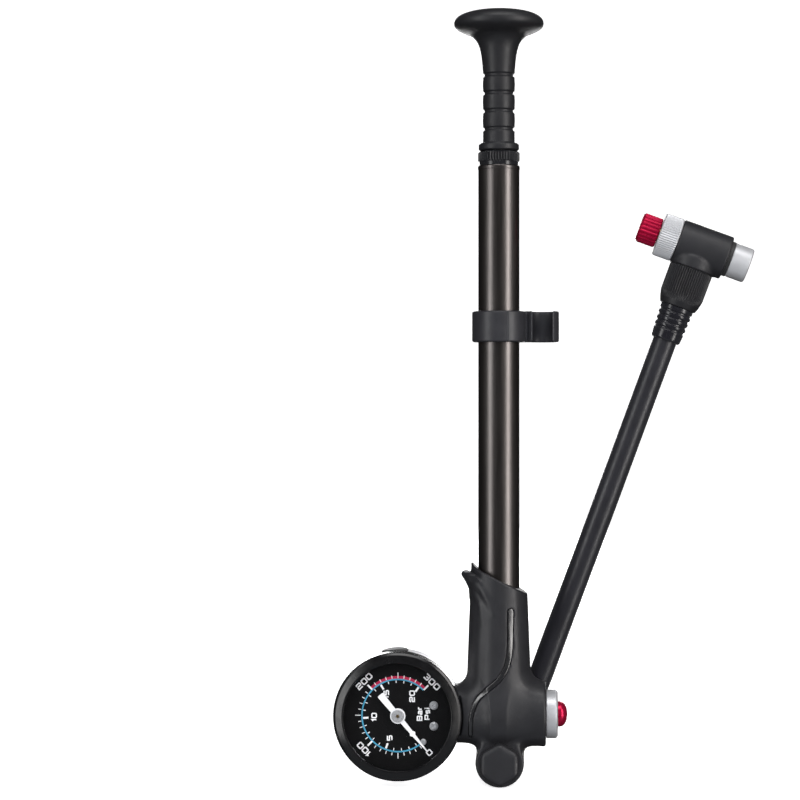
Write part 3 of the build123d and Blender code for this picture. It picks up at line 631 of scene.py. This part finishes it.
def pivot_cap():
    """The six-sided cap: a bevelled face inside rounded flats."""
    def field(points):
        x, y, z = points.T
        flats = [np.abs(x * cos(a) + y * sin(a)) - CAP_FLAT for a in (0, pi / 3, 2 * pi / 3)]
        bar = common(common(flats[0], flats[1], 1.0), flats[2], 1.0)
        crown = np.hypot(x, y) - CAP_CROWN_R + 0.4 * np.maximum(-11.8 - z, 0) ** 1.3
        bar = common(bar, crown, 0.3)
        bevel = (np.maximum(np.maximum(flats[0], flats[1]), flats[2]) + 1.3 * (CAP_BEVEL - z)) * 0.6
        bar = common(bar, bevel, 0.35)
        bar = common(bar, CAP_FACE - z, 0.5)
        return np.maximum(bar, z - BOSS_FACE - 0.3)
    points, faces = surface(field, (-7.6, -7.6, -13.8), (7.6, 7.6, BOSS_FACE + 0.3), 0.25)
    stand_in("hex_cap", points, faces, PIVOT, "pivot_cap", 60)


# ---------------------------------------------------------------- bleed valve

def bleed_valve():
    """The silver collar and the domed red button."""
    face = RIGHT_FACE
    collar = softened([
        (4.35, face, 0), (7.6, face, 0.1), (8.2, face + 0.15, 0.25), (8.2, face + 3.5, 0.45),
        (7.3, face + 4.0, 0.3), (4.75, face + 4.0, 0.25), (4.35, face + 3.7, 0.2),
    ], 0.1)
    stand_in("valve_collar", *lathe(collar, 128), CROSS, "bleed_collar", 40)
    dome = smooth_line([(4.28, 20.6), (4.1, 21.4), (3.45, 22.25), (2.1, 22.95), (0, 23.25)], 5)
    stem = [
        (0, 21.4), (1.2, 21.4), (1.2, 19.0), (1.9, 19.0), (1.9, 21.2), (3.1, 21.2), (3.1, 19.0), (4.3, 19.0),
    ]
    button = softened(stem, 0.1, closed=False) + dome
    stand_in("valve_button", *lathe(button, 96), CROSS, "bleed_button", 40)


# ---------------------------------------------------------------- clip

BAND_R, TONGUE_RISE = 9.1, 0.33
HOOK_X, HOOK_R, HOOK_BORE = 14.8, 5.6, 4.0


def hose_clip():
    """The split clip: a band with a raised overlap and an open hook for the hose."""
    low, high = span("hose_clip", 2)
    middle, half = (low + high) / 2, (high - low) / 2

    def field(points):
        x, y, z = points.T
        angle = np.degrees(np.arctan2(x, -y))
        tongue = np.clip((angle - 18.5) / 1.5, 0, 1) * np.clip((112 - angle) / 50, 0, 1)
        band = np.hypot(x, y) - BAND_R - TONGUE_RISE * tongue
        hook = np.hypot(x - HOOK_X, y) - HOOK_R
        neck = np.maximum(np.maximum(np.abs(y - 1.2) - 2.6, 6.0 - x), x - 12.5)
        body = united(united(band, neck, 1.4), hook, 1.4)
        mouth = np.maximum(np.abs(x - HOOK_X) - 3.3, y)
        body = less(body, mouth, 0.5)
        body = less(body, np.hypot(x - HOOK_X, y) - HOOK_BORE, 0.45)
        edge = np.abs(z - middle) - half
        body = common(body, edge, 0.7)
        body = less(body, np.hypot(x, y) - BARREL_R - 0.05, 0.3)
        return body
    points, faces = surface(field, (-9.5, -9.8, low), (20.6, 9.5, high), 0.27)
    stand_in("parking_clip", points, faces, UP, "hose_clip", 60)


# ---------------------------------------------------------------- hose

HOSE_Y = HOSE_PIVOT.y
HOSE_D = 0.0083
HOSE_ROUTE = [
    (0.00465, HOSE_Y, 0.01556),
    (0.01100, HOSE_Y, 0.02656),
    (0.01955, HOSE_Y, 0.05020),
    (0.03575, HOSE_Y, 0.09335),
    (0.05156, HOSE_Y, 0.13650),
    (0.06116, HOSE_Y, 0.16248),
]


def hose():
    """The hose, along the same route as its CAD solid."""
    curve = bpy.data.curves.new("air_hose", "CURVE")
    curve.dimensions = "3D"
    spline = curve.splines.new("NURBS")
    spline.points.add(len(HOSE_ROUTE) - 1)
    for point, spot in zip(spline.points, HOSE_ROUTE):
        point.co = (*spot, 1)
    spline.order_u = 3
    spline.use_endpoint_u = True
    spline.resolution_u = 24
    curve.bevel_depth = HOSE_D / 2
    curve.bevel_resolution = 12
    curve.use_fill_caps = True
    curve.materials.append(MATERIALS["hose_rubber"])
    made = bpy.data.objects.new("air_hose", curve)
    bpy.context.scene.collection.objects.link(made)
    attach(made, "hose_arm")
    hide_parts("hose")
    return made


def hose_ends():
    """The crimped ferrule at the swivel and the ribbed boot at the sleeve."""
    crimps = [(4.2, 8.5, 0), (5.0, 8.5, 0.2), (5.2, 8.8, 0.2)]
    for height in (10.6, 13.2):
        crimps += [(5.2, height - 0.7, 0.3), (4.8, height, 0.5), (5.2, height + 0.7, 0.3)]
    crimps += [(5.2, 15.1, 0.2), (4.9, 15.4, 0.2), (4.2, 15.4, 0)]
    ferrule = stand_in("crimped_ferrule", *lathe(softened(crimps, 0.1), 96), SPIGOT, "hose_ferrule", 40)
    top, foot = -21.6, -33.8
    boot = [(4.1, top, 0), (5.75, top, 0.3)]
    for number in range(4):
        height = top - 1.5 - number * 2.05
        crest = 5.75 - 0.1 * number
        boot += [(crest, height, 0.3), (crest - 0.4, height - 0.35, 0.25), (crest - 0.4, height - 0.8, 0.25),
                 (crest, height - 1.15, 0.3)]
    boot += [(5.3, foot + 2.4, 0.8), (5.15, foot + 0.6, 0.4), (4.85, foot, 0.3), (4.1, foot, 0)]
    return [ferrule, stand_in("ribbed_boot", *lathe(softened(boot, 0.1), 96), STEM, "strain_relief", 40)]


# ---------------------------------------------------------------- connector

THREAD_R, THREAD_DEPTH, THREAD_PITCH = 3.5, 0.42, 0.794


def connector():
    """Sleeve, tee, spindle, collar and knob of the screw-on connector."""
    made = []
    ribs = flutes(56, 0.42, -19.5, -7.9, 7.0, 1.2)
    sleeve = softened([
        (1.2, -21.6, 0), (6.3, -21.6, 0.3), (7.0, -19.7, 1.2), (7.55, -17.2, 2.0), (7.6, -8.1, 0.3),
        (7.2, -7.72, 0.2), (1.2, -7.72, 0),
    ], 0.1)
    made.append(stand_in("ribbed_sleeve", *lathe(sleeve, 56 * 8, ribs), STEM, "grip_sleeve", 50))

    def tee_field(points):
        x, y, z = points.T
        bar = common(np.hypot(x, y) - 7.6, np.abs(z - 1.15) - 8.95, 0.7)
        stub = common(np.hypot(x, z) - 7.75, y + 3.4 + 0.05 * z ** 2, 0.6)
        body = united(bar, common(stub, -7.7 - y, 0.5), 0.9)
        body = less(body, np.hypot(x, y) - 5.6, 0.25)
        return body
    form = surface(tee_field, (-8.2, -8.0, -8.2), (8.2, 8.0, 10.6), 0.34)
    made.append(stand_in("tee", *form, TEE, "tee_body", 60))

    def thread(radius, height, angle):
        if not 12.4 < height < 17.9 or radius > 3.95:
            return radius
        turns = angle / (2 * pi) + height / THREAD_PITCH
        return THREAD_R + THREAD_DEPTH * abs(2 * (turns % 1) - 1)
    wall = [(3.9, 17.95), *[(3.9, 17.9 - 0.1 * step) for step in range(56)]]
    nose = softened([
        (1.6, -1.0, 0), (1.6, 10.8, 0), (3.8, 10.8, 0), (3.8, 12.3, 0),
    ], 0, closed=False) + wall[::-1] + softened([
        (4.2, 18.1, 0.05), (5.6, 18.1, 0.2), (6.05, 17.6, 0.3), (6.05, 11.6, 0.2), (5.8, 11.4, 0.1),
        (5.55, 11.4, 0), (5.55, -11.7, 0), (2.25, -11.7, 0), (2.25, -1.0, 0),
    ], 0.1, closed=False)
    made.append(stand_in("threaded_nose", *lathe(nose, 96, thread), TEE, "spindle", 40))

    knurl = flutes(60, 0.26, -14.3, -8.2, 7.3)
    collar = softened([
        (5.6, -7.9, 0), (7.2, -7.9, 0.15), (7.6, -8.3, 0.2), (7.6, -14.1, 0.25), (7.1, -14.6, 0.25),
        (5.6, -14.6, 0.2), (5.4, -14.3, 0.1), (5.4, -11.0, 0), (5.6, -11.0, 0),
    ], 0.1)
    made.append(stand_in("knurled_collar", *lathe(collar, 60 * 8, knurl), TEE, "spindle_collar", 40))

    grip = flutes(22, 0.34, -21.1, -15.1, 4.9, 1.8)
    knob = softened([
        (0, -18.9), (2.2, -18.9, 0), (2.2, -14.8, 0), (4.8, -14.8, 0.2), (5.2, -15.2, 0.3), (5.2, -21.0, 0.4),
        (4.5, -21.8, 0.4), (1.5, -21.8, 0.4), (1.2, -21.4, 0.3), (0, -21.4),
    ], 0.1, closed=False)
    made.append(stand_in("fluted_knob", *lathe(knob, 22 * 16, grip), TEE, "depressor_knob", 40))
    return made


def swivel():
    """The turning elbow: an eye on the bolt that runs into the hose's spigot."""
    lean = SPIGOT_LEAN

    def field(points):
        x, y, z = points.T
        eye = common(np.hypot(x, y) - 6.5, np.abs(z - 15.15) - 5.35, 0.6)
        along = x * sin(lean) - y * cos(lean)
        aside = np.hypot(x * cos(lean) + y * sin(lean), z - HOSE_Y / MM)
        neck = common(np.maximum(aside - 4.6, -along), along - 8.5, 0.3)
        body = united(eye, neck, 1.6)
        return less(body, np.hypot(x, y) - 3.05, 0.25)
    points, faces = surface(field, (-6.9, -9.6, 9.6), (9.0, 6.9, 20.7), 0.3)
    stand_in("swivel_eye", points, faces, PIVOT, "swivel", 60)


# ---------------------------------------------------------------- gauge

CASE_R = 21.2
BEZEL_R = 21.7
WINDOW_R = 18.1
DIAL_FACE = 7.5
PRINT = 0.03
PLUG_RISE = 0.8
ZERO_MARK = 220.5


def gauge_shell():
    """The steel cup and the rolled bezel."""
    cup = softened([
        (0, -10.0, 0), (18.8, -10.0, 1.0), (20.9, -9.2, 1.2), (CASE_R, -7.6, 1.0), (CASE_R, 7.9, 0.1),
        (20.3, 7.9, 0.1), (20.3, -7.5, 0.8), (19.4, -9.0, 0.8), (0, -9.1, 0),
    ], 0.1, closed=False)
    shell = stand_in("steel_cup", *lathe(cup, 192), DIAL, "gauge_case", 40)
    shell.data.materials[0] = MATERIALS["bright_case"]
    bezel = softened([
        (CASE_R, 5.0, 0), (BEZEL_R - 0.15, 5.0, 0.15), (BEZEL_R, 5.5, 0.2), (BEZEL_R, 11.5, 0.7),
        (BEZEL_R - 0.9, 12.1, 0.35), (WINDOW_R + 0.55, 13.0, 0.3), (WINDOW_R + 0.05, 12.85, 0.2),
        (WINDOW_R, 11.52, 0.05), (19.9, 11.52, 0), (19.9, 8.0, 0), (CASE_R, 8.0, 0),
    ], 0.1, 8)
    stand_in("rolled_bezel", *lathe(bezel, 256), DIAL, "gauge_bezel", 40)


def ribbon(left, right, high, closed=False):
    """Points and faces of a printed band between two edges, from the dial up to a height."""
    count = len(left)
    points = [(*point, height) for height in (DIAL_FACE, high) for edge in (left, right) for point in edge]
    faces = []
    for here in range(count if closed else count - 1):
        there = (here + 1) % count
        for a, b in ((0, 1), (1, 3), (3, 2), (2, 0)):
            faces.append((a * count + here, a * count + there, b * count + there, b * count + here))
    if not closed:
        faces += [tuple(row * count + end for row in (0, 1, 3, 2)) for end in (0, count - 1)]
    return points, faces


def stroke(line, width, high):
    """A printed line with mitred corners; one that ends where it starts is closed."""
    line = [Vector(point) for point in line]
    closed = line[0] == line[-1]
    if closed:
        line.pop()
    left, right = [], []
    for number, here in enumerate(line):
        ways = []
        if closed or number > 0:
            ways.append((here - line[number - 1]).normalized())
        if closed or number < len(line) - 1:
            ways.append((line[(number + 1) % len(line)] - here).normalized())
        sides = [Vector((-way.y, way.x)) for way in ways]
        mitre = sum(sides, Vector((0, 0))).normalized()
        mitre *= width / 2 / mitre.dot(sides[0])
        left.append(tuple(here + mitre))
        right.append(tuple(here - mitre))
    return ribbon(left, right, high, closed)


def on_dial(radius, angle):
    """A place on the dial, from its radius in millimetres and its angle in degrees."""
    return radius * cos(radians(angle)), radius * sin(radians(angle))


def dial_arc(inner, outer, first, last, high):
    """A printed arc between two angles."""
    angles = np.linspace(first, last, round(abs(last - first) / 1.5))
    return ribbon(*[[on_dial(radius, angle) for angle in angles] for radius in (inner, outer)], high)


def dial_tick(angle, inner, outer, width, high):
    """A printed mark across the scale."""
    return stroke([on_dial(inner, angle), on_dial(outer, angle)], width, high)


WEIGHT = 0.27
GAP = 0.16
RING = [
    (0.14, 0), (0.82, 0), (0.96, 0.14), (0.96, 0.86), (0.82, 1), (0.14, 1), (0, 0.86), (0, 0.14), (0.14, 0),
]
GLYPHS = {
    "0": (0.96, [RING]),
    "1": (0.34, [[(0, 0.74), (0.34, 1), (0.34, 0)]]),
    "2": (0.96, [[(0, 0.76), (0, 0.88), (0.12, 1), (0.84, 1), (0.96, 0.88), (0.96, 0.62), (0.84, 0.5),
                  (0.12, 0.5), (0, 0.38), (0, 0), (0.96, 0)]]),
    "3": (0.96, [[(0, 1), (0.82, 1), (0.94, 0.88), (0.94, 0.62), (0.82, 0.5), (0.3, 0.5)],
                 [(0.82, 0.5), (0.96, 0.36), (0.96, 0.12), (0.84, 0), (0, 0)]]),
    "5": (0.96, [[(0.96, 1), (0, 1), (0, 0.56), (0.84, 0.56), (0.96, 0.44), (0.96, 0.12), (0.84, 0),
                  (0, 0)]]),
    "B": (0.92, [[(0, 0), (0.8, 0), (0.92, 0.12), (0.92, 0.38), (0.8, 0.5), (0.9, 0.62), (0.9, 0.88),
                  (0.78, 1), (0, 1), (0, 0)], [(0, 0.5), (0.8, 0.5)]]),
    "P": (0.92, [[(0, 0), (0, 1), (0.8, 1), (0.92, 0.88), (0.92, 0.54), (0.8, 0.42), (0, 0.42)]]),
    "a": (0.72, [[(0.05, 0.72), (0.62, 0.72), (0.72, 0.62), (0.72, 0), (0.1, 0), (0, 0.1), (0, 0.26),
                  (0.1, 0.36), (0.72, 0.36)]]),
    "r": (0.44, [[(0, 0), (0, 0.6), (0.12, 0.72), (0.44, 0.72)]]),
    "s": (0.7, [[(0.7, 0.72), (0.1, 0.72), (0, 0.62), (0, 0.46), (0.1, 0.36), (0.6, 0.36), (0.7, 0.26),
                 (0.7, 0.1), (0.6, 0), (0, 0)]]),
    "i": (0.0, [[(0, 0), (0, 0.72)], [(0, 0.88), (0, 1.1)]]),
}


def lettering(text, size, centre, turn, high):
    """Printed characters, centred on a place on the dial and turned by an angle."""
    scale = size / (1 + WEIGHT)
    length = sum(GLYPHS[letter][0] + WEIGHT + GAP for letter in text) - WEIGHT - GAP
    spin = Matrix.Rotation(radians(turn), 2)
    start = -length / 2
    shapes = []
    for letter in text:
        width, lines = GLYPHS[letter]
        for line in lines:
            placed = [spin @ Vector((start + x, y - 0.5)) * scale + Vector(centre) for x, y in line]
            shapes.append(stroke(placed, WEIGHT * scale, high))
        start += width + WEIGHT + GAP
    return shapes


def printed(name, shapes, colour):
    """One piece from many printed shapes."""
    points, faces = [], []
    for more, sides in shapes:
        faces += [tuple(corner + len(points) for corner in face) for face in sides]
        points += more
    piece(name, points, faces, DIAL, "dial", 30, PRINTS[colour])


SCALE_START = 225
DEGREES_PER_PSI, DEGREES_PER_BAR = 0.9, 13.053


def psi_angle(pressure):
    """Where a pressure is on the outer scale."""
    return SCALE_START - DEGREES_PER_PSI * pressure


def bar_angle(pressure):
    """Where a pressure is on the inner scale."""
    return SCALE_START - DEGREES_PER_BAR * pressure


def dial_print():
    """The scales: psi outside, bar inside, with a blue arc and a red band at the high end."""
    high = DIAL_FACE + PRINT
    printed("print_blue", [dial_arc(11.95, 12.43, 218, -45, high)], "blue")
    printed("print_red", [dial_arc(12.45, 13.35, 45, -45, high)], "red")
    top = high + 0.02
    marks = []
    for pressure in range(10, 301, 10):
        inner, outer, width = 12.6, 13.6, 0.26
        if pressure % 50 == 0:
            outer = 14.5
        if pressure % 100 == 0:
            inner, width = 12.3, 0.6
        marks.append(dial_tick(psi_angle(pressure), inner, outer, width, top))
    for pressure in range(1, 21):
        inner, width = (10.0, 0.66) if pressure % 5 == 0 else (11.05, 0.28)
        marks.append(dial_tick(bar_angle(pressure), inner, 11.85, width, top))
    for pressure in (5, 10, 15, 20):
        marks += lettering(str(pressure), 1.9, on_dial(8.1, bar_angle(pressure)), 0, top)
    for pressure in (100, 200, 300):
        angle = psi_angle(pressure)
        marks += lettering(str(pressure), 2.1, on_dial(16.2, angle), angle - 90, top)
    marks += lettering("0", 2.0, on_dial(16.3, ZERO_MARK), ZERO_MARK - 90, top)
    marks += lettering("Bar", 1.9, (0.65, -7.3), 0, top)
    marks += lettering("Psi", 1.9, (0.65, -9.9), 0, top)
    printed("print_white", marks, "white")


def case_plug():
    """The rubber vent plug, curved to the case that it sits on."""
    low, high = (np.array(corner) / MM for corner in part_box("case_plug"))
    middle, radius = (low[0] + high[0]) / 2, (high[0] - low[0]) / 2
    case_x = DIAL.translation.x / MM

    def field(points):
        x, y, z = points.T
        above = np.hypot(x - case_x, z - MANIFOLD_Z) - CASE_R
        pad = common(np.hypot(x - middle, y) - radius, above - PLUG_RISE, 0.45)
        return np.maximum(pad, -above)
    low[2] = MANIFOLD_Z + CASE_R - 1.4
    stand_in("vent_plug", *surface(field, low, high, 0.2), UP, "case_plug", 60)


# ---------------------------------------------------------------- room, light and camera

WORLD = 0.05
FLOOR_GLOW, WALL_GLOW = 0.72, 1.0
FLOOR_R = 0.6
WALL_R, WALL_TOP, WALL_BEND = 2.6, 4.0, 0.6
ROOM_SIDES = 96


def glowing_white(name, glow):
    """Matt white that gives off some light of its own."""
    finish = Finish(name, Roughness=0.9, Specular_IOR_Level=0.1)
    finish.colours(finish.noise(300.0, 2.0), (0.93, 0.93, 0.93), (0.95, 0.95, 0.95))
    finish.shader.inputs["Emission Color"].default_value = (1, 1, 1, 1)
    finish.shader.inputs["Emission Strength"].default_value = glow
    return finish.material


def room():
    """A pale floor inside a round white wall. They don't show in the object's sheen or light it."""
    curve = [
        (WALL_R - WALL_BEND + WALL_BEND * sin(a), WALL_BEND - WALL_BEND * cos(a))
        for a in np.linspace(0, pi / 2, 12)
    ]
    outlines = {
        "floor": ([(0, 0), (FLOOR_R, 0)], FLOOR_GLOW),
        "backdrop": ([(FLOOR_R, 0), *curve, (WALL_R, WALL_TOP), (0, WALL_TOP)], WALL_GLOW),
    }
    turns = [2 * pi * side / ROOM_SIDES for side in range(ROOM_SIDES)]
    for name, (outline, glow) in outlines.items():
        points = [(reach * cos(turn), reach * sin(turn), up) for reach, up in outline for turn in turns]
        faces = []
        for row in range(len(outline) - 1):
            low, high = row * ROOM_SIDES, (row + 1) * ROOM_SIDES
            for side in range(ROOM_SIDES):
                after = (side + 1) % ROOM_SIDES
                faces.append((low + side, low + after, high + after, high + side))
        mesh = bpy.data.meshes.new(name)
        mesh.from_pydata(points, [], faces)
        form = bmesh.new()
        form.from_mesh(mesh)
        bmesh.ops.remove_doubles(form, verts=form.verts, dist=0.001)
        form.to_mesh(mesh)
        form.free()
        mesh.shade_smooth()
        mesh.materials.append(glowing_white(name, glow))
        made = bpy.data.objects.new(name, mesh)
        bpy.context.scene.collection.objects.link(made)
        made.visible_glossy = False
        made.visible_diffuse = False
        made.visible_shadow = False


LIT_PLACE = (0, 0, 0.13)
NEUTRAL = (1, 1, 1)
# each softbox's name, place, size, power and colour
SOFTBOXES = [
    ("left_strip", (-0.72, -0.62, 0.25), (0.24, 1.2), 4.5, NEUTRAL),
    ("right_strip", (0.76, -0.54, 0.25), (0.26, 1.2), 7.5, (1, 0.97, 0.95)),
    ("front_top", (0.1, -0.5, 1.3), (0.9, 0.5), 7.0, NEUTRAL),
    ("fill", (0, -1.45, 0.5), (1.2, 1.2), 19.0, (0.92, 0.95, 1.0)),
    ("floor_bounce", (0, -0.45, -0.55), (1.6, 0.8), 1.0, (0.88, 0.93, 1.0)),
    ("back_fill", (0, 1.45, 0.6), (1.4, 1.0), 12.0, NEUTRAL),
    ("back_left", (-0.25, 1.4, 0.25), (0.12, 1.2), 4.0, NEUTRAL),
    ("back_right", (0.25, 1.4, 0.25), (0.12, 1.2), 4.0, NEUTRAL),
]
WITHOUT_GLINT = ("fill", "back_fill")
HIDDEN_FROM_VIEW = ("back_left", "back_right")


def soft_light(name, at, size, power, colour):
    """A softbox that faces the object."""
    light = bpy.data.lights.new(name, "AREA")
    light.shape = "RECTANGLE"
    light.size, light.size_y = size
    light.energy = power
    light.color = colour
    lamp = bpy.data.objects.new(name, light)
    lamp.location = at
    lamp.rotation_euler = (Vector(LIT_PLACE) - Vector(at)).to_track_quat("-Z", "Y").to_euler()
    bpy.context.scene.collection.objects.link(lamp)
    return lamp


def lights():
    """Dim surroundings and softboxes: tall strips before and behind, one overhead, and soft fills."""
    world = bpy.data.worlds.new("studio")
    world.use_nodes = True
    world.node_tree.nodes["Background"].inputs["Color"].default_value = (1, 1, 1, 1)
    world.node_tree.nodes["Background"].inputs["Strength"].default_value = WORLD
    bpy.context.scene.world = world
    for name, at, size, power, colour in SOFTBOXES:
        lamp = soft_light(name, at, size, power, colour)
        if name in WITHOUT_GLINT:
            lamp.visible_glossy = False
        if name in HIDDEN_FROM_VIEW:
            lamp.visible_camera = False


LENS, SENSOR = 109.85, 36
CAMERA_PLACE = (14.64 * MM, -0.83, 131.2 * MM)
CAMERA_AIM = (-33.65 * MM, 0, 130.5 * MM)


def camera():
    """Level with the barrel's middle and turned a little to the gauge; the left side stays free."""
    lens = bpy.data.cameras.new("camera")
    lens.lens = LENS
    lens.sensor_width = SENSOR
    lens.dof.use_dof = False
    eye = bpy.data.objects.new("camera", lens)
    eye.location = CAMERA_PLACE
    eye.rotation_euler = (Vector(CAMERA_AIM) - eye.location).to_track_quat("-Z", "Y").to_euler()
    bpy.context.scene.collection.objects.link(eye)
    bpy.context.scene.camera = eye


def main():
    """Every piece, then the room, the light and the view."""
    camera()
    tube = hose()
    dress_cad_nodes()
    on_hose = hose_ends() + connector()
    handle()
    barrel_cap()
    barrel()
    head()
    pivot_cap()
    bleed_valve()
    hose_clip()
    swivel()
    gauge_shell()
    case_plug()
    dial_print()
    on_hose += [frame["nodes"][node] for node in ("end_washer", "knob_screw")]
    room()
    lights()
    bpy.context.scene.view_settings.view_transform = "Standard"


main()
